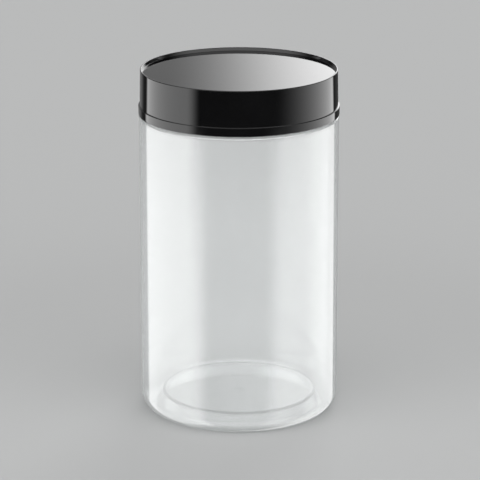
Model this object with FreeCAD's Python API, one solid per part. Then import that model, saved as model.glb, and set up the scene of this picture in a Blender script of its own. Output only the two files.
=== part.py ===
import FreeCAD, Part
import math
import os

# Clear blown jar with a wide mouth, its black screw lid and the foam liner that seals it.
# Millimetres, +Z up, origin at the middle of the ring that the jar stands on.
# The whole jar is round about Z, apart from the screw threads.

# Jar body
bodyRadius = 50.0        # outside of the straight side wall
bodyHeight = 152.7       # floor to the outer corner of the shoulder
bodyWall = 0.8
heelRadius = 8.0         # outside rounding from the side wall to the foot ring

# Base, pushed up inside the foot ring
baseWall = 1.2
footWidth = 2.1          # from the foot ring's inner corner to the start of the heel
pushUpHeight = 7.4       # floor to the underside of the base disc at its edge
pushUpLean = 2.3         # how far the push-up's side wall leans in over its height
discEdgeBevel = 0.9      # on the upper side, round the disc
gateRadius = 2.2         # stub left under the middle of the base by the blowing preform
gateLength = 0.7

# Shoulder and neck
shoulderWidth = 3.4      # side wall to the neck
shoulderRise = 0.6
shoulderBevel = 1.0
shoulderWall = 1.5
neckHeight = 18.5        # shoulder to rim
neckWall = 1.9
rimEdgeBevel = 0.5
throatBevel = 1.5        # inside, where the neck opens into the body

# Screw thread, the same helix on the neck and in the lid
threadLead = 5.0         # rise in one turn, single start, right-hand
threadTurns = 1.25
threadDepth = 1.15
threadRootWidth = 2.2
threadCrestWidth = 1.0
threadRunOut = 24.0      # degrees over which a ridge sinks into its wall at each end
threadBelowRim = 3.5     # rim to the middle of the ridge at its upper end
threadStartAngle = 60.0
threadSideGap = 0.35     # neck ridge to the lid's bore, and lid ridge to the neck
threadFlankGap = 0.3     # along the axis, between the flanks that pull the lid down

# Lid
lidPanelThickness = 1.3
lidRimHeight = 1.7       # panel to the top of the rim
lidRimWidth = 0.7        # at its top
lidRimLean = 0.35        # how much wider the rim is at the panel
lidRimBevel = 0.2
lidSkirtWall = 1.4       # bore to the outside of the skirt, at the ledge
lidSkirtDraft = 0.38     # how much narrower the skirt is at the top
lidBandHeight = 4.3
lidBandStep = 0.65       # how far the band stands out from the skirt
lidFootBevel = 0.25
lidShoulderGap = 0.25    # shoulder to the lid's foot when screwed down

# Liner
linerThickness = 1.3
linerSideGap = 0.3

# Places that follow from the sizes above
neckRadius = bodyRadius - shoulderWidth
neckBore = neckRadius - neckWall
neckRoot = bodyHeight + shoulderRise
neckRim = neckRoot + neckHeight
threadCrest = neckRadius + threadDepth
threadRise = threadLead * threadTurns
threadFlankSlope = (threadRootWidth - threadCrestWidth) / 2 / threadDepth
neckThreadTop = neckRim - threadBelowRim
lidBore = threadCrest + threadSideGap
lidFoot = neckRoot + lidShoulderGap
lidUnderside = neckRim + linerThickness
lidPanelTop = lidUnderside + lidPanelThickness
lidTop = lidPanelTop + lidRimHeight
lidSkirtRadius = lidBore + lidSkirtWall
lidTopRadius = lidSkirtRadius - lidSkirtDraft
lidBandRadius = lidSkirtRadius + lidBandStep
lidLedge = lidFoot + lidBandHeight
linerRadius = lidBore - linerSideGap

# How deep a ridge is rooted in the wall that carries it, so that the two are one piece
threadRooting = 0.4
sectionsPerTurn = 24


def rounded(before, corner, after, radius):
    """The arc that rounds a corner of an outline, with the two points where it meets the straights."""
    towardsBefore = (before - corner).normalize()
    towardsAfter = (after - corner).normalize()
    halfAngle = towardsBefore.getAngle(towardsAfter) / 2
    setBack = radius / math.tan(halfAngle)
    bisector = (towardsBefore + towardsAfter).normalize()
    toMiddle = radius / math.sin(halfAngle) - radius
    start = corner + towardsBefore * setBack
    end = corner + towardsAfter * setBack
    return Part.Arc(start, corner + bisector * toMiddle, end), start, end


def bevelled(before, corner, after, size):
    """The flat that breaks a corner of an outline, with the two points where it meets the straights."""
    start = corner + (before - corner).normalize() * size
    end = corner + (after - corner).normalize() * size
    return Part.LineSegment(start, end), start, end


def outline(corners):
    """A closed wire in the XZ plane through corners given as (radius from the axis, height).

    A corner may add how it is finished: the function that shapes it, and that function's size.
    """
    points = [FreeCAD.Vector(corner[0], 0, corner[1]) for corner in corners]
    count = len(points)
    edges = []
    straightEnds = []
    for i in range(count):
        if len(corners[i]) == 2:
            straightEnds.append((points[i], points[i]))
            continue
        finish, size = corners[i][2:]
        curve, start, end = finish(points[i - 1], points[i], points[(i + 1) % count], size)
        edges.append(curve.toShape())
        straightEnds.append((start, end))
    for i in range(count):
        start = straightEnds[i - 1][1]
        end = straightEnds[i][0]
        edges.append(Part.LineSegment(start, end).toShape())
    return Part.Wire(Part.__sortEdges__(edges))


def turned(corners):
    """The solid that an outline sweeps in a full turn about Z."""
    face = Part.Face(outline(corners))
    return face.revolve(FreeCAD.Vector(0, 0, 0), FreeCAD.Vector(0, 0, 1), 360)


def threadSection(rootRadius, crestRadius, angle, height, depthShare):
    """One trapezium across a ridge, standing in the plane through Z at this angle."""
    crest = rootRadius + (crestRadius - rootRadius) * depthShare
    outwards = math.copysign(1, crestRadius - rootRadius)
    foot = rootRadius - outwards * threadRooting
    halfAtCrest = threadRootWidth / 2 - threadFlankSlope * threadDepth * depthShare
    halfAtFoot = threadRootWidth / 2 + threadFlankSlope * threadRooting
    turn = math.radians(angle)
    corners = [(foot, -halfAtFoot), (crest, -halfAtCrest), (crest, halfAtCrest), (foot, halfAtFoot)]
    points = []
    for radius, offset in corners:
        points.append(FreeCAD.Vector(radius * math.cos(turn), radius * math.sin(turn), height + offset))
    return Part.makePolygon(points + points[:1])


def threadRidge(rootRadius, crestRadius, topHeight):
    """A single-start right-hand ridge that fades into its wall at both ends.

    Trapezium sections stand at even steps up the helix, and a smooth skin is laid through them. Near an end
    the crest comes down to just under the wall, along a half cosine.
    """
    sweep = threadTurns * 360
    steps = math.ceil(threadTurns * sectionsPerTurn)
    sunk = -threadRooting / 4 / threadDepth
    sections = []
    for i in range(steps + 1):
        along = sweep * i / steps
        fromEnd = min(along, sweep - along, threadRunOut)
        fade = (1 - math.cos(math.pi * fromEnd / threadRunOut)) / 2
        depthShare = sunk + (1 - sunk) * fade
        height = topHeight - threadRise + threadLead * along / 360
        sections.append(threadSection(rootRadius, crestRadius, threadStartAngle + along, height, depthShare))
    return Part.makeLoft(sections, True, False)


def makeJarBody():
    """Wall, base and neck in one turned section, with the neck's ridge fused on."""
    heelStart = bodyRadius - heelRadius
    footInner = heelStart - footWidth
    discEdge = footInner - pushUpLean
    bodyBore = bodyRadius - bodyWall
    discTop = pushUpHeight + baseWall
    shoulderBore = bodyHeight - shoulderWall
    # A flat that touches the heel's inner arc at its middle, so the wall there is as thick as above it or thicker
    innerHeelBevel = (heelRadius - bodyWall) * (2 - math.sqrt(2))
    shell = turned([
        (0, pushUpHeight),
        (discEdge, pushUpHeight),
        (footInner, 0),
        (bodyRadius, 0, rounded, heelRadius),
        (bodyRadius, bodyHeight, bevelled, shoulderBevel),
        (neckRadius, neckRoot),
        (neckRadius, neckRim, bevelled, rimEdgeBevel),
        (neckBore, neckRim, bevelled, rimEdgeBevel),
        (neckBore, neckRoot - shoulderWall, bevelled, throatBevel),
        (bodyBore, shoulderBore),
        (bodyBore, baseWall, bevelled, innerHeelBevel),
        (footInner + baseWall, baseWall),
        (discEdge + baseWall, discTop, bevelled, discEdgeBevel),
        (0, discTop),
    ])
    gate = Part.makeCylinder(gateRadius, gateLength + baseWall / 2,
                             FreeCAD.Vector(0, 0, pushUpHeight - gateLength))
    ridge = threadRidge(neckRadius, threadCrest, neckThreadTop)
    return shell.fuse([gate, ridge]).removeSplitter()


def makeLid():
    """Panel, rim, skirt and band in one turned section, with the inside ridge fused on."""
    rimInner = lidTopRadius - lidRimWidth
    shell = turned([
        (0, lidUnderside),
        (lidBore, lidUnderside),
        (lidBore, lidFoot),
        (lidBandRadius, lidFoot, bevelled, lidFootBevel),
        (lidBandRadius, lidLedge),
        (lidSkirtRadius, lidLedge),
        (lidTopRadius, lidTop, bevelled, lidRimBevel),
        (rimInner, lidTop, bevelled, lidRimBevel),
        (rimInner - lidRimLean, lidPanelTop),
        (0, lidPanelTop),
    ])
    halfWidths = threadRootWidth / 2 + threadCrestWidth / 2
    ridgeDrop = halfWidths - threadFlankSlope * threadSideGap + threadFlankGap
    ridge = threadRidge(lidBore, lidBore - threadDepth, neckThreadTop - ridgeDrop)
    return shell.fuse(ridge).removeSplitter()


def makeLiner():
    """A flat foam disc between the neck's rim and the panel."""
    return Part.makeCylinder(linerRadius, linerThickness, FreeCAD.Vector(0, 0, neckRim))


def main():
    os.makedirs("parts", exist_ok=True)
    pieces = {
        "jar_body": makeJarBody(),
        "lid": makeLid(),
        "liner": makeLiner(),
    }
    for name, shape in pieces.items():
        shape.exportStep("parts/" + name + ".step")
        box = shape.BoundBox
        print(name, shape.ShapeType, "solids", len(shape.Solids), "valid", shape.isValid(),
              "volume", round(shape.Volume), "z", round(box.ZMin, 2), "to", round(box.ZMax, 2))


main()
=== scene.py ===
import math
import bpy
import numpy as np
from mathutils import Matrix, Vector


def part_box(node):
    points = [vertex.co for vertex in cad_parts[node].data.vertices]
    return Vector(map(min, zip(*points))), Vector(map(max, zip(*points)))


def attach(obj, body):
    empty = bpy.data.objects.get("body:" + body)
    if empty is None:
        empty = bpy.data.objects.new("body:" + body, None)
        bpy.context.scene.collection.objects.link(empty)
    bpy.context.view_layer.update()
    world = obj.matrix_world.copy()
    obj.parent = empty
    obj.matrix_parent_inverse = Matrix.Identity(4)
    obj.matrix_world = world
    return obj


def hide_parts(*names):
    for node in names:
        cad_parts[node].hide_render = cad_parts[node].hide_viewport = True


# Clear jar with a black screw lid. Sizes below are in millimetres and become metres in the meshes.
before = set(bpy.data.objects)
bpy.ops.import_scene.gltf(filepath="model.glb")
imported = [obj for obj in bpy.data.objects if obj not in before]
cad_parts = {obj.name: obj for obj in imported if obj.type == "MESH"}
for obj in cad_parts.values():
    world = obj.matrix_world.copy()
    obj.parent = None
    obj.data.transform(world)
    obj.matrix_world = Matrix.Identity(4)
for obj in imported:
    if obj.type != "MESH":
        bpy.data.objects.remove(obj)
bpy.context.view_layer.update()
mm = 0.001
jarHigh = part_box("jar_body")[1]
lidLow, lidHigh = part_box("lid")
linerLow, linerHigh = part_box("liner")
print("frame loaded:", ", ".join(sorted(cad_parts)))


# Shapes: every piece is an outline of radius and height, turned about the vertical axis

def roundedOutline(corners, arcPoints=9, longestRun=6.0, guard=0.12):
    # Corners are (radius, height, rounding, bend). A rounded corner becomes an arc tangent to both straights:
    # its centre lies on the corner's bisector, rounding / sin(half angle) away, and the arc swings between
    # the feet of that centre on them. Each straight gets a guard point just inside both ends, so that smooth
    # shading stays in the arcs, and is then cut into runs no longer than longestRun. The third column is the
    # corner's bend in an arc and 0 in a straight: how much painted shade darkens the light that crosses a
    # clear wall there, standing in for the light that the turn bends away.
    points = np.array([corner[:2] for corner in corners], float)
    pieces = [np.append(points[:1], [[0]], axis=1)]
    for i in range(1, len(corners) - 1):
        before = points[i - 1] - points[i]
        after = points[i + 1] - points[i]
        before, after = before / np.linalg.norm(before), after / np.linalg.norm(after)
        halfAngle = math.acos(float(np.clip(before @ after, -1, 1))) / 2
        rounding = corners[i][2]
        setBack = rounding / math.tan(halfAngle)
        bisector = (before + after) / np.linalg.norm(before + after)
        middle = points[i] + bisector * rounding / math.sin(halfAngle)
        first, last = points[i] + before * setBack - middle, points[i] + after * setBack - middle
        sweep = math.pi - 2 * halfAngle
        share = np.linspace(0, 1, arcPoints)[:, None]
        arc = middle + (first * np.sin((1 - share) * sweep) + last * np.sin(share * sweep)) / math.sin(sweep)
        bend = corners[i][3] if len(corners[i]) > 3 else 0
        pieces.append(np.column_stack([arc, np.full(arcPoints, bend)]))
    pieces.append(np.append(points[-1:], [[0]], axis=1))
    guarded = [pieces[0]]
    for start, end in zip(pieces[:-1], pieces[1:]):
        run = end[0, :2] - start[-1, :2]
        length = np.linalg.norm(run)
        if length > 4 * guard:
            inside = np.array([guard / length, 1 - guard / length])[:, None]
            guarded.append(np.column_stack([start[-1, :2] + run * inside, [0, 0]]))
        guarded.append(end)
    line = np.vstack(guarded)
    cuts = np.maximum(1, np.ceil(np.hypot(*np.diff(line[:, :2], axis=0).T) / longestRun))
    knots = np.concatenate([[0], np.cumsum(cuts)])
    steps = np.arange(knots[-1] + 1)
    return np.column_stack([np.interp(steps, knots, line[:, i]) for i in range(3)])


def turnedPiece(name, outline, segments=256, ridge=None):
    # The point at angle a and outline place (r, z) is ((r + h) cos a, (r + h) sin a, z), where h is the
    # ridge's height there. Both ends of the outline lie on the axis, where one point closes the surface with
    # a fan of triangles. The attribute bend is the outline's, and on a ridge 4 s (1 - s), where s is h as a
    # share of the thread's depth.
    angles = np.arange(segments) * 2 * math.pi / segments
    inner = outline[1:-1]
    rows = len(inner)
    radii = np.repeat(inner[None, :, 0], segments, axis=0)
    heights = np.repeat(inner[None, :, 1], segments, axis=0)
    bend = np.repeat(inner[None, :, 2], segments, axis=0)
    if ridge is not None:
        lift = ridge(angles[:, None], radii, heights)
        share = np.abs(lift) / thread["depth"]
        radii = radii + lift
        bend = np.maximum(bend, 4 * share * (1 - share))
    x, y = radii * np.cos(angles)[:, None], radii * np.sin(angles)[:, None]
    ring = np.stack([x, y, heights], axis=-1).reshape(-1, 3)
    poles = np.array([[0, 0, outline[0, 1]], [0, 0, outline[-1, 1]]])
    points = np.vstack([ring, poles]) * mm
    column, row = np.meshgrid(np.arange(segments), np.arange(rows - 1), indexing="ij")
    nextColumn = (column + 1) % segments
    quads = np.stack([column * rows + row, nextColumn * rows + row, nextColumn * rows + row + 1,
                      column * rows + row + 1], axis=-1).reshape(-1, 4)
    first = np.arange(segments) * rows      # the first point of each column
    nextFirst = np.roll(first, -1)
    firstPole, lastPole = segments * rows, segments * rows + 1
    firstFan = np.stack([nextFirst, first, np.full(segments, firstPole)], axis=-1)
    lastFan = np.stack([first + rows - 1, nextFirst + rows - 1, np.full(segments, lastPole)], axis=-1)
    mesh = bpy.data.meshes.new(name)
    mesh.from_pydata(points.tolist(), [], quads.tolist() + firstFan.tolist() + lastFan.tolist())
    mesh.polygons.foreach_set("use_smooth", np.ones(len(mesh.polygons), bool))
    # bend is the mask of the painted shade that the clear plastic lays where its wall turns
    bends = mesh.attributes.new("bend", "FLOAT", "POINT")
    bends.data.foreach_set("value", np.append(bend.ravel(), [0, 0]).astype(np.float32))
    mesh.validate()
    mesh.update()
    piece = bpy.data.objects.new(name, mesh)
    bpy.context.scene.collection.objects.link(piece)
    return piece


# Screw thread, the same helix on the neck and in the lid
thread = {
    "lead": 5.0,            # rise in one turn
    "turns": 1.25,
    "depth": 1.15,
    "rootWidth": 2.2,
    "crestWidth": 1.0,
    "runOut": 24.0,         # degrees over which an end sinks into the wall
    "startAngle": 60.0,
    "belowRim": 3.5,        # rim to the middle of the ridge at its upper end
    "sideGap": 0.35,        # neck ridge to the lid's bore, and lid ridge to the neck
    "flankGap": 0.3,        # along the axis, between the flanks that pull the lid down
    "softness": 0.12,       # rounding of the ridge's crest and foot
    "wallRows": 56,         # rows of points on the wall that carries a ridge
    "onWall": 0.001,        # how near to the wall's radius a point is taken to be on it
}
flankSlope = (thread["rootWidth"] - thread["crestWidth"]) / 2 / thread["depth"]


def ridgeSpan(topHeight):
    # The lowest and highest places of a ridge whose middle ends at topHeight
    half = thread["rootWidth"] / 2
    return topHeight - thread["lead"] * thread["turns"] - half, topHeight + half


def ridgedWall(radius, start, end):
    # Even rows along a cylinder, close enough together to carry the ridge, without the two end points
    rows = thread["wallRows"]
    return np.column_stack([np.full(rows, radius), np.linspace(start, end, rows + 2)[1:-1], np.zeros(rows)])


def threadHeight(angles, heights, topHeight):
    # A ridge's height over its wall is the lower of a flat crest and its two sloping flanks, and never under
    # zero. Near where they meet it comes down by softness exp(-difference / softness) / 2, which rounds the
    # edge. The crest follows a half cosine at both ends of the helix. Where the helix passes a place twice,
    # the higher pass counts.
    sweep = thread["turns"] * 360
    total = np.zeros(np.broadcast(angles, heights).shape)
    for passed in (0, 360):
        along = (np.degrees(angles) - thread["startAngle"]) % 360 + passed
        onHelix = along <= sweep
        fromEnd = np.clip(np.minimum(along, sweep - along), 0, thread["runOut"])
        crest = thread["depth"] * (1 - np.cos(math.pi * fromEnd / thread["runOut"])) / 2
        middle = topHeight - thread["lead"] * (sweep - along) / 360
        flank = (thread["rootWidth"] / 2 - np.abs(heights - middle)) / flankSlope
        lower = np.minimum(flank, crest)
        blended = lower - thread["softness"] * np.exp(-np.abs(flank - crest) / thread["softness"]) / 2
        total = np.maximum(total, np.where(onHelix & (crest > 0), np.clip(blended, 0, None), 0))
    return total


# Jar
jar = {
    "bodyRadius": jarHigh.x / mm,
    "bodyHeight": 152.7,    # floor to the outer corner of the shoulder
    "bodyWall": 0.8,
    "heelRadius": 8.0,
    "baseWall": 1.2,
    "footWidth": 2.1,       # from the foot ring's inner corner to the start of the heel
    "footRounding": 2.0,
    "troughRounding": 1.5,  # inside, where the push-up rises from the base
    "pushUpHeight": 7.4,    # floor to the underside of the base disc
    "pushUpLean": 2.3,      # how far the push-up's side leans in over its height
    "pushUpRounding": 2.0,
    "discEdgeRounding": 1.3,
    "gateRadius": 2.2,      # stub left under the middle of the base
    "gateLength": 0.7,
    "gateRounding": 0.3,
    "gateRootRounding": 0.25,
    "shoulderWidth": 3.4,
    "shoulderRise": 0.6,
    "shoulderRounding": 1.0,
    "shoulderWall": 1.5,
    "neckRootRounding": 0.5,
    "neckWall": 1.9,
    "rimRounding": 0.5,
    "throatRounding": 2.0,  # inside, where the neck opens into the body
    # Painted shade: each rounding's share of the darker colour let through the clear plastic, standing in for
    # refraction
    "bends": {              # how far each rounding dims the light that crosses it, 0 to 1
        "gate": 0.4,
        "pushUp": 0.12,
        "foot": 0.14,
        "heel": 0.01,
        "shoulder": 0.06,
        "neckRoot": 0.3,
        "rim": 0.8,
        "throat": 0.2,
        "innerShoulder": 0.1,
        "trough": 0.15,
        "discEdge": 1,
    },
}
neckRadius = jar["bodyRadius"] - jar["shoulderWidth"]
neckRoot = jar["bodyHeight"] + jar["shoulderRise"]
neckRim = jarHigh.z / mm
threadTop = neckRim - thread["belowRim"]


def jarOutline():
    # From the middle of the base's underside, round the foot, up the wall, over the rim and back down inside
    heelStart = jar["bodyRadius"] - jar["heelRadius"]
    footInner = heelStart - jar["footWidth"]
    discEdge = footInner - jar["pushUpLean"]
    bodyBore = jar["bodyRadius"] - jar["bodyWall"]
    neckBore = neckRadius - jar["neckWall"]
    under = jar["pushUpHeight"]
    discTop = under + jar["baseWall"]
    gateFoot = under - jar["gateLength"]
    bends = jar["bends"]
    ridgeStart, ridgeEnd = ridgeSpan(threadTop)
    outside = roundedOutline([
        (0, gateFoot, 0),
        (jar["gateRadius"], gateFoot, jar["gateRounding"], bends["gate"]),
        (jar["gateRadius"], under, jar["gateRootRounding"], bends["gate"]),
        (discEdge, under, jar["pushUpRounding"], bends["pushUp"]),
        (footInner, 0, jar["footRounding"], bends["foot"]),
        (jar["bodyRadius"], 0, jar["heelRadius"], bends["heel"]),
        (jar["bodyRadius"], jar["bodyHeight"], jar["shoulderRounding"], bends["shoulder"]),
        (neckRadius, neckRoot, jar["neckRootRounding"], bends["neckRoot"]),
        (neckRadius, ridgeStart, 0),
    ])
    ridged = ridgedWall(neckRadius, ridgeStart, ridgeEnd)
    inside = roundedOutline([
        (neckRadius, ridgeEnd, 0),
        (neckRadius, neckRim, jar["rimRounding"], bends["rim"]),
        (neckBore, neckRim, jar["rimRounding"], bends["rim"]),
        (neckBore, neckRoot - jar["shoulderWall"], jar["throatRounding"], bends["throat"]),
        (bodyBore, jar["bodyHeight"] - jar["shoulderWall"], jar["shoulderRounding"], bends["innerShoulder"]),
        (bodyBore, jar["baseWall"], jar["heelRadius"] - jar["bodyWall"], bends["heel"]),
        (footInner + jar["baseWall"], jar["baseWall"], jar["troughRounding"], bends["trough"]),
        (discEdge + jar["baseWall"], discTop, jar["discEdgeRounding"], bends["discEdge"]),
        (0, discTop, 0),
    ])
    return np.vstack([outside, ridged, inside])


def neckRidge(angles, radii, heights):
    # The thread stands out from the neck's outside only
    onNeck = np.abs(radii - neckRadius) < thread["onWall"]
    return np.where(onNeck, threadHeight(angles, heights, threadTop), 0)


jarShell = turnedPiece("jar_shell", jarOutline(), ridge=neckRidge)
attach(jarShell, "jar")
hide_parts("jar_body")
print("jar:", len(jarShell.data.polygons), "faces")


# Lid
lid = {
    "panelThickness": 1.3,
    "panelEdge": 0.15,      # rounding where the panel meets the rim
    "rimWidth": 0.7,        # at its top
    "rimLean": 0.35,        # how much wider the rim is at the panel
    "rimRounding": 0.33,
    "skirtWall": 1.4,
    "skirtDraft": 0.38,     # how much narrower the skirt is at the top
    "bandHeight": 4.3,
    "bandStep": 0.65,       # how far the band stands out from the skirt
    "ledgeRounding": 0.08,
    "ledgeRootRounding": 0.15,
    "footRounding": 0.3,
    "boreRounding": 0.3,    # where the bore meets the underside of the panel
    "beadDepth": 0.9,       # keeps the liner in
    "beadHeight": 0.9,
    "beadGap": 0.3,         # liner to the bead
    "beadRounding": 0.25,
    "beadRootRounding": 0.2,
    "longestRun": 4.0,      # of one step along a straight of the outline
}
lidFoot, lidTop = lidLow.z / mm, lidHigh.z / mm
lidUnderside = linerHigh.z / mm
bandRadius = lidHigh.x / mm
skirtRadius = bandRadius - lid["bandStep"]
lidBore = skirtRadius - lid["skirtWall"]
panelTop = lidUnderside + lid["panelThickness"]
halfWidths = (thread["rootWidth"] + thread["crestWidth"]) / 2
lidThreadTop = threadTop - halfWidths + flankSlope * thread["sideGap"] - thread["flankGap"]


def lidOutline():
    # From under the panel's middle, down the bore, round the foot, up the skirt and over the rim to the panel
    topRadius = skirtRadius - lid["skirtDraft"]
    rimInner = topRadius - lid["rimWidth"]
    beadTop = lidUnderside - (linerHigh.z - linerLow.z) / mm - lid["beadGap"]
    ledge = lidFoot + lid["bandHeight"]
    ridgeStart, ridgeEnd = ridgeSpan(lidThreadTop)
    upper = roundedOutline([
        (0, lidUnderside, 0),
        (lidBore, lidUnderside, lid["boreRounding"]),
        (lidBore, beadTop, lid["beadRootRounding"]),
        (lidBore - lid["beadDepth"], beadTop - lid["beadHeight"] / 2, lid["beadRounding"]),
        (lidBore, beadTop - lid["beadHeight"], lid["beadRootRounding"]),
        (lidBore, ridgeEnd, 0),
    ])
    ridged = ridgedWall(lidBore, ridgeEnd, ridgeStart)
    lower = roundedOutline([
        (lidBore, ridgeStart, 0),
        (lidBore, lidFoot, lid["footRounding"]),
        (bandRadius, lidFoot, lid["footRounding"]),
        (bandRadius, ledge, lid["ledgeRounding"]),
        (skirtRadius, ledge, lid["ledgeRootRounding"]),
        (topRadius, lidTop, lid["rimRounding"]),
        (rimInner, lidTop, lid["rimRounding"]),
        (rimInner - lid["rimLean"], panelTop, lid["panelEdge"]),
        (0, panelTop, 0),
    ], longestRun=lid["longestRun"])
    return np.vstack([upper[:-1], ridged, lower[1:]])


def lidRidge(angles, radii, heights):
    # The thread stands in from the bore only
    onBore = np.abs(radii - lidBore) < thread["onWall"]
    return np.where(onBore, -threadHeight(angles, heights, lidThreadTop), 0)


lidShell = turnedPiece("lid_shell", lidOutline(), ridge=lidRidge)
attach(lidShell, "lid")
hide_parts("lid")
print("lid:", len(lidShell.data.polygons), "faces")


# Liner
liner = {
    "edgeRounding": 0.3,
    "printDepth": 0.06,     # how deep the neck's rim has pressed into the foam
    "printOutside": 0.3,    # how far outside the rim's edges the foam starts to sink
    "printInside": 0.2,     # how far inside them it is at its full depth
    "printRounding": 0.3,
    "arcPoints": 5,         # in each rounding
    "longestRun": 4.0,
    "segments": 192,        # round the axis
}


def linerOutline():
    # From the middle of the underside, over the ring that the neck has pressed in, round the edge to the top
    radius, foot, top = linerHigh.x / mm, linerLow.z / mm, linerHigh.z / mm
    rimMiddle = neckRadius - jar["neckWall"] / 2
    halfRim = jar["neckWall"] / 2
    printed = foot + liner["printDepth"]
    return roundedOutline([
        (0, foot, 0),
        (rimMiddle - halfRim - liner["printOutside"], foot, liner["printRounding"]),
        (rimMiddle - halfRim + liner["printInside"], printed, liner["printRounding"]),
        (rimMiddle + halfRim - liner["printInside"], printed, liner["printRounding"]),
        (rimMiddle + halfRim + liner["printOutside"], foot, liner["printRounding"]),
        (radius, foot, liner["edgeRounding"]),
        (radius, top, liner["edgeRounding"]),
        (0, top, 0),
    ], arcPoints=liner["arcPoints"], longestRun=liner["longestRun"])


linerDisc = turnedPiece("liner_disc", linerOutline(), segments=liner["segments"])
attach(linerDisc, "liner")
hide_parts("liner")
print("liner:", len(linerDisc.data.polygons), "faces")


# Materials

class Wire:
    # Holds one node socket. Sums, products and powers of wires add the Math nodes for them.
    def __init__(self, tree, socket=None):
        self.tree = tree
        self.socket = socket

    def add(self, kind, settings=None, inputs=None, output=0):
        node = self.tree.nodes.new(kind)
        for name, value in (settings or {}).items():
            setattr(node, name, value)
        for name, value in (inputs or {}).items():
            if isinstance(value, Wire):
                self.tree.links.new(value.socket, node.inputs[name])
            else:
                node.inputs[name].default_value = value
        return Wire(self.tree, node.outputs[output])

    def math(self, operation, *values):
        return self.add("ShaderNodeMath", {"operation": operation}, dict(enumerate(values)))

    def __add__(self, other):
        return self.math("ADD", self, other)

    def __sub__(self, other):
        return self.math("SUBTRACT", self, other)

    def __rsub__(self, other):
        return self.math("SUBTRACT", other, self)

    def __mul__(self, other):
        return self.math("MULTIPLY", self, other)

    def __pow__(self, other):
        return self.math("POWER", self, other)

    __radd__ = __add__
    __rmul__ = __mul__

    def step(self, low, high):
        # 0 below low, 1 above high and smooth between
        return self.add("ShaderNodeMapRange", {"interpolation_type": "SMOOTHSTEP"},
                        {"Value": self, "From Min": low, "From Max": high})

    def noise(self, place, scale, detail=2.0):
        return self.add("ShaderNodeTexNoise", {}, {"Vector": place, "Scale": scale, "Detail": detail})


def newMaterial(name):
    material = bpy.data.materials.new(name)
    material.use_nodes = True
    material.node_tree.nodes.clear()
    return material, Wire(material.node_tree)


def showSurface(wire, shader):
    out = wire.tree.nodes.new("ShaderNodeOutputMaterial")
    wire.tree.links.new(shader.socket, out.inputs["Surface"])


clearFinish = {
    "mirrorAhead": 0.11,    # share mirrored by one face of the plastic seen straight on
    "mirrorOnEdge": 0.6,    # the same seen along the face
    "mirrorPower": 6,       # of the slant, between the two
    "farSide": 0.25,        # how much the second face of a wall mirrors, against the first
    "gloss": 0.2,           # roughness of the broad mirror, seen straight on
    "glossOnEdge": 0.05,    # of the crisp one, seen along the face
    "crisping": (0.15, 0.55),              # slants between which the one gives way to the other
    "tint": (0.985, 0.990, 0.990, 1),      # left of the light that goes straight through one face
    "edgeTint": (0.92, 0.93, 0.93, 1),     # the same seen along the face
    "edgeTintPower": 4,
    # Painted shade: the colour let through where the wall turns sharply, standing in for the light that
    # refraction bends away
    "paintedBendShade": (0.30, 0.34, 0.335, 1),    # where the wall turns sharply and bends the light away
    "haze": 0.14,           # share of the face that is haze
    "hazeOnEdge": 0.13,     # how much more there is along the face, times the slant squared
    "hazeInClouds": 0.015,  # how much more there is in cloudy patches
    "hazeColour": (0.945, 0.955, 0.955, 1),
    "cloudsPerMetre": 40.0,
    "cloudEdge": (0.4, 0.75),       # levels of noise at which a patch begins and is full
    "flow": 0.002,          # millimetres of waviness left by blowing
    "flowsPerMetre": 55.0,
    "flowStretch": 0.12,    # the waves' scale along the jar against round it
}


def clearPlastic():
    # Slant is 0 where a face is seen straight on and 1 along it. Each face lets light straight through and
    # mirrors a share that grows as slant^6: a soft, broad mirror straight on and a crisp one along the face.
    # Haze lies over both, and more of it as slant^2. The light that gets through is darker along the face,
    # and painted shade darkens it where the wall turns, standing in for the light bent away there.
    material, wire = newMaterial("clear plastic")
    place = wire.add("ShaderNodeTexCoord", output="Object")
    drawn = wire.add("ShaderNodeMapping", {}, {"Vector": place, "Scale": (1, 1, clearFinish["flowStretch"])})
    flow = wire.noise(drawn, clearFinish["flowsPerMetre"], detail=1.0)
    bump = wire.add("ShaderNodeBump", {}, {
        "Strength": 1.0, "Distance": clearFinish["flow"] * mm, "Height": flow})
    slant = wire.add("ShaderNodeLayerWeight", {}, {"Blend": 0.5}, output="Facing")
    second = wire.add("ShaderNodeNewGeometry", output="Backfacing")
    onEdge = clearFinish["mirrorOnEdge"] - clearFinish["mirrorAhead"]
    mirrored = clearFinish["mirrorAhead"] + onEdge * slant ** clearFinish["mirrorPower"]
    mirrored = mirrored * (1 - (1 - clearFinish["farSide"]) * second)
    # bend masks the painted shade, and the third transparent shader below carries that painted shade
    bend = wire.add("ShaderNodeAttribute", {"attribute_name": "bend"}, output="Fac")
    ahead, along, bent = (wire.add("ShaderNodeBsdfTransparent", {}, {"Color": clearFinish[colour]})
                          for colour in ("tint", "edgeTint", "paintedBendShade"))
    tinted = slant ** clearFinish["edgeTintPower"]
    straight = wire.add("ShaderNodeMixShader", {}, {0: tinted, 1: ahead, 2: along})
    through = wire.add("ShaderNodeMixShader", {}, {0: bend, 1: straight, 2: bent})
    broad, crisp = (wire.add("ShaderNodeBsdfGlossy", {}, {
        "Color": (1, 1, 1, 1), "Roughness": clearFinish[gloss], "Normal": bump})
        for gloss in ("gloss", "glossOnEdge"))
    crisping = slant.step(*clearFinish["crisping"])
    mirror = wire.add("ShaderNodeMixShader", {}, {0: crisping, 1: broad, 2: crisp})
    clear = wire.add("ShaderNodeMixShader", {}, {0: mirrored, 1: through, 2: mirror})
    clouds = wire.noise(place, clearFinish["cloudsPerMetre"], detail=3.0).step(*clearFinish["cloudEdge"])
    haze = clearFinish["haze"] + clearFinish["hazeInClouds"] * clouds + clearFinish["hazeOnEdge"] * slant ** 2
    hazy = wire.add("ShaderNodeBsdfDiffuse", {}, {"Color": clearFinish["hazeColour"]})
    showSurface(wire, wire.add("ShaderNodeMixShader", {}, {0: haze, 1: clear, 2: hazy}))
    return material


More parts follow.
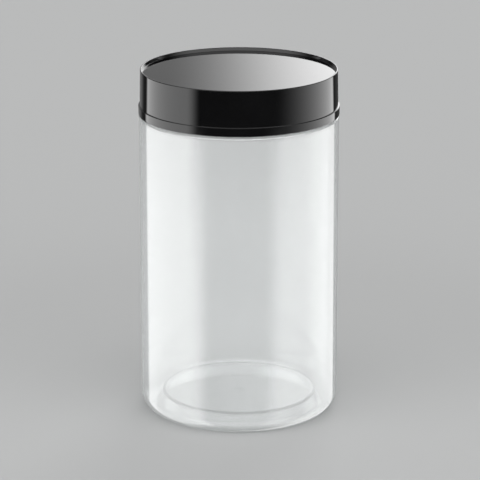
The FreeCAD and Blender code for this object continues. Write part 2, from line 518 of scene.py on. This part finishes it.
lidFinish = {
    "colour": (0.0018, 0.0018, 0.0020, 1),
    "worn": (0.0042, 0.0043, 0.0046, 1),
    "wornInPatches": 0.7,   # share of the wear that is in the dulled patches, the rest is in fine specks
    "gloss": 0.035,         # roughness
    "dulled": 0.056,        # roughness where handling has dulled it
    "patchesPerMetre": 28.0,
    "patchEdge": (0.35, 0.7),
    "specksPerMetre": 900.0,
    "peel": 0.004,          # millimetres of waviness in the moulded gloss
    "peelsPerMetre": 160.0,
    "refraction": 1.5,
}


def blackPlastic():
    # Polished moulding: near black and varying a little, with patches dulled by handling and a faint waviness
    material, wire = newMaterial("black plastic")
    place = wire.add("ShaderNodeTexCoord", output="Object")
    patches = wire.noise(place, lidFinish["patchesPerMetre"], detail=4.0).step(*lidFinish["patchEdge"])
    specks = wire.noise(place, lidFinish["specksPerMetre"])
    wear = patches * lidFinish["wornInPatches"] + specks * (1 - lidFinish["wornInPatches"])
    colour = wire.add("ShaderNodeMix", {"data_type": "RGBA"},
                      {0: wear, 6: lidFinish["colour"], 7: lidFinish["worn"]}, output=2)
    roughness = lidFinish["gloss"] + (lidFinish["dulled"] - lidFinish["gloss"]) * patches
    wave = wire.noise(place, lidFinish["peelsPerMetre"])
    bump = wire.add("ShaderNodeBump", {}, {
        "Strength": 1.0, "Distance": lidFinish["peel"] * mm, "Height": wave})
    showSurface(wire, wire.add("ShaderNodeBsdfPrincipled", {}, {
        "Base Color": colour, "Roughness": roughness, "IOR": lidFinish["refraction"], "Normal": bump}))
    return material


foamFinish = {
    "colour": (0.84, 0.83, 0.80, 1),
    # shade is painted shade, mixed in towards each cell's walls
    "shade": (0.72, 0.71, 0.68, 1),
    "roughness": 0.75,
    "cellsPerMetre": 2200.0,
    "cellEdge": (0.2, 0.8),     # from a cell's middle to its walls, as shares of its size
    "grain": 0.05,          # millimetres
    "grainStrength": 0.6,
}


def whiteFoam():
    # Closed-cell foam: small cells sink between their walls, and painted shade darkens each cell towards its
    # walls
    material, wire = newMaterial("white foam")
    place = wire.add("ShaderNodeTexCoord", output="Object")
    cells = wire.add("ShaderNodeTexVoronoi", {}, {"Vector": place, "Scale": foamFinish["cellsPerMetre"]})
    colour = wire.add("ShaderNodeMix", {"data_type": "RGBA"}, {
        0: cells.step(*foamFinish["cellEdge"]), 6: foamFinish["colour"], 7: foamFinish["shade"]}, output=2)
    bump = wire.add("ShaderNodeBump", {}, {
        "Strength": foamFinish["grainStrength"], "Distance": foamFinish["grain"] * mm, "Height": cells})
    showSurface(wire, wire.add("ShaderNodeBsdfPrincipled", {}, {
        "Base Color": colour, "Roughness": foamFinish["roughness"], "Normal": bump}))
    return material


jarShell.data.materials.append(clearPlastic())
lidShell.data.materials.append(blackPlastic())
linerDisc.data.materials.append(whiteFoam())
print("materials made")


# Studio
studio = {
    "floorSize": 8.0,
    "floorColour": (0.505, 0.51, 0.51, 1),
    "backdrop": (0.495, 0.50, 0.50, 1),
    # Radiance of each light, where 1 is white
    "dark": 0.05,           # between the lights
    "leftBox": 2.6,
    "rightBox": 2.65,
    "leftTable": 2.3,       # lit table in front of the boxes, which only the body is low enough to mirror
    "rightTable": 1.5,
    "bank": 2.0,            # soft light over the camera
    "bankRise": 1.3,        # how much stronger it is higher up
    "rear": 2.9,            # soft light behind and to the right, above the level of the lid
    "rearBase": 0.35,       # what is left of it behind and to the left
    "low": 0.035,           # low behind on the right
    "lowLeft": 0.2,         # how much more there is low behind on the left
    "overhead": 0.9,
    "under": 0.5,           # the floor as the underside of the heel mirrors it
    # Degrees of height between which a light fades in, or at its top fades out
    "boxFoot": (-75, -55),
    "boxTop": (-2, 4),
    "tableTop": (-15.5, -14),
    "bankFoot": (2, 6),
    "bankRising": (16, 30),
    "bankTop": (36, 48),
    "rearFoot": (-6, 6),
    "rearTop": (38, 55),
    "overheadFoot": (52, 70),
    "underTop": (-42, -26),
    # Degrees round from the camera's side between which a light fades in, or at its end fades out
    "leftBoxEdge": (45, 63),
    "leftBoxEnd": (130, 136),
    "leftTableEdge": (34, 54),
    "rightBoxEdge": (41, 118),
    "rightBoxEnd": (138, 144),
    "rightBoxSlope": 0.8,   # degrees by which its end comes forward for each degree over rightBoxCorner
    "rightBoxCorner": -13,
    "rightTableEdge": (26, 52),
    "bankEnd": (52, 104),
    "rearEdge": (142, 156),
    "lowSide": (-5, 5),     # leftward, so it only tells left from right
    "rearFade": (-1.75, 3.6),   # counted from straight behind, to the right
}


def makeFloor():
    half = studio["floorSize"] / 2
    mesh = bpy.data.meshes.new("floor")
    corners = [(-half, -half, 0), (half, -half, 0), (half, half, 0), (-half, half, 0)]
    mesh.from_pydata(corners, [], [(0, 1, 2, 3)])
    floor = bpy.data.objects.new("floor", mesh)
    bpy.context.scene.collection.objects.link(floor)
    floor.visible_glossy = False
    material, wire = newMaterial("floor paper")
    showSurface(wire, wire.add("ShaderNodeBsdfDiffuse", {}, {"Color": studio["floorColour"]}))
    mesh.materials.append(material)


def makeStudioLight():
    # The world is the studio by direction: height above the horizon, and leftward or rightward, the degrees
    # round from the camera's side. Two soft boxes stand low beside the object, with a lit table in front of
    # them and the dark between them. A bank of light hangs over the camera, and a soft light behind on the
    # right. Each light is its radiance times smooth steps in height and sideways. Camera rays and rays that
    # a material carries through see the plain backdrop instead.
    world = bpy.data.worlds.new("studio")
    bpy.context.scene.world = world
    world.use_nodes = True
    world.node_tree.nodes.clear()
    wire = Wire(world.node_tree)
    direction = wire.add("ShaderNodeTexCoord", output="Generated")
    parts = wire.add("ShaderNodeSeparateXYZ", {}, {0: direction})
    x, y, z = (Wire(wire.tree, parts.socket.node.outputs[i]) for i in range(3))
    height = wire.math("ARCSINE", z) * math.degrees(1)
    leftward = wire.math("ARCTAN2", x * -1, y * -1) * math.degrees(1)
    rightward = leftward * -1
    sideways = wire.math("ABSOLUTE", leftward)
    pastBehind = wire.math("ARCTAN2", x, y) * math.degrees(1)

    boxes = height.step(*studio["boxFoot"]) * (1 - height.step(*studio["boxTop"]))
    table = 1 - height.step(*studio["tableTop"])
    leftBox = leftward.step(*studio["leftBoxEdge"]) * studio["leftBox"]
    leftTable = leftward.step(*studio["leftTableEdge"]) * table * studio["leftTable"]
    left = wire.math("MAXIMUM", leftBox, leftTable) * (1 - leftward.step(*studio["leftBoxEnd"]))
    slanted = rightward + studio["rightBoxSlope"] * (height - studio["rightBoxCorner"])
    rightBox = rightward.step(*studio["rightBoxEdge"]) * studio["rightBox"]
    rightTable = rightward.step(*studio["rightTableEdge"]) * table * studio["rightTable"]
    right = wire.math("MAXIMUM", rightBox, rightTable) * (1 - slanted.step(*studio["rightBoxEnd"]))

    behind = sideways.step(*studio["rearEdge"])
    raised = height.step(*studio["rearFoot"])
    hung = studio["rearBase"] + studio["rear"] * pastBehind.step(*studio["rearFade"])
    rear = behind * raised * (1 - height.step(*studio["rearTop"])) * hung
    low = behind * (1 - raised) * (studio["low"] + studio["lowLeft"] * leftward.step(*studio["lowSide"]))

    ahead = 1 - sideways.step(*studio["bankEnd"])
    overCamera = height.step(*studio["bankFoot"]) * (1 - height.step(*studio["bankTop"]))
    bank = ahead * overCamera * (studio["bank"] + studio["bankRise"] * height.step(*studio["bankRising"]))
    top = height.step(*studio["overheadFoot"]) * studio["overhead"]
    under = (1 - height.step(*studio["underTop"])) * studio["under"]

    radiance = studio["dark"] + under + (left + right) * boxes + rear + low + bank + top
    glow = wire.add("ShaderNodeBackground", {}, {"Color": (1, 1, 1, 1), "Strength": radiance})
    pale = wire.add("ShaderNodeBackground", {}, {"Color": studio["backdrop"], "Strength": 1.0})
    paths = wire.add("ShaderNodeLightPath", output="Is Camera Ray")
    carried = Wire(wire.tree, paths.socket.node.outputs["Is Transmission Ray"])
    seen = wire.math("MAXIMUM", paths, carried)
    mixed = wire.add("ShaderNodeMixShader", {}, {0: seen, 1: glow, 2: pale})
    out = wire.tree.nodes.new("ShaderNodeOutputWorld")
    wire.tree.links.new(mixed.socket, out.inputs["Surface"])


makeFloor()
makeStudioLight()
print("studio made")


# Camera, with its place and target in metres
camera = {
    "place": (0.0, -1.2641, 0.4651),
    "target": (0.00053, 0.0, 0.08715),
    "lens": 195.54,         # millimetres, as the sensor is
    "sensor": 36.0,
    "farthest": 50,
}


def makeCamera():
    data = bpy.data.cameras.new("camera")
    data.lens = camera["lens"]
    data.sensor_width = camera["sensor"]
    data.clip_end = camera["farthest"]
    eye = bpy.data.objects.new("camera", data)
    bpy.context.scene.collection.objects.link(eye)
    eye.location = camera["place"]
    eye.rotation_euler = (Vector(camera["target"]) - eye.location).to_track_quat("-Z", "Y").to_euler()
    bpy.context.scene.camera = eye


makeCamera()
bpy.context.scene.view_settings.view_transform = "Standard"
bpy.context.scene.cycles.transparent_max_bounces = 24    # a ray may cross the clear walls many times
